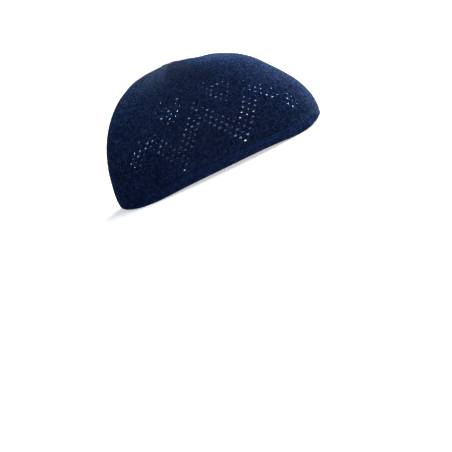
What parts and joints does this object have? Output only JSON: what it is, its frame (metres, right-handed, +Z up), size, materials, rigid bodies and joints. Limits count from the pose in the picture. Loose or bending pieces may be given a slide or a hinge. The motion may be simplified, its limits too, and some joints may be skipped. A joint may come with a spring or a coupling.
{
  "type": "knitted kufi skull cap",
  "caption": "Brimless knitted cotton skull cap with two rows of zigzag eyelets, a doubled welt at the rim and a drawn-together crown, hollow and open below.",
  "frame": {"origin": "on the surface it rests on, under the middle of the cap's box", "axes": "+Z up, the forehead at -Y, the nape at +Y and the wearer's right side at -X"},
  "size_m": [0.1609, 0.195, 0.0998],
  "materials": {
    "welt_knit": "matte navy cotton, doubled plain knit",
    "lace_knit": "matte navy cotton, plain knit with eyelets",
    "gathered_knit": "matte navy cotton, knit drawn together"
  },
  "bodies": {
    "root": {"rim_band": "welt_knit", "knit_crown": "lace_knit", "crown_gather": "gathered_knit"}
  },
  "joints": []
}
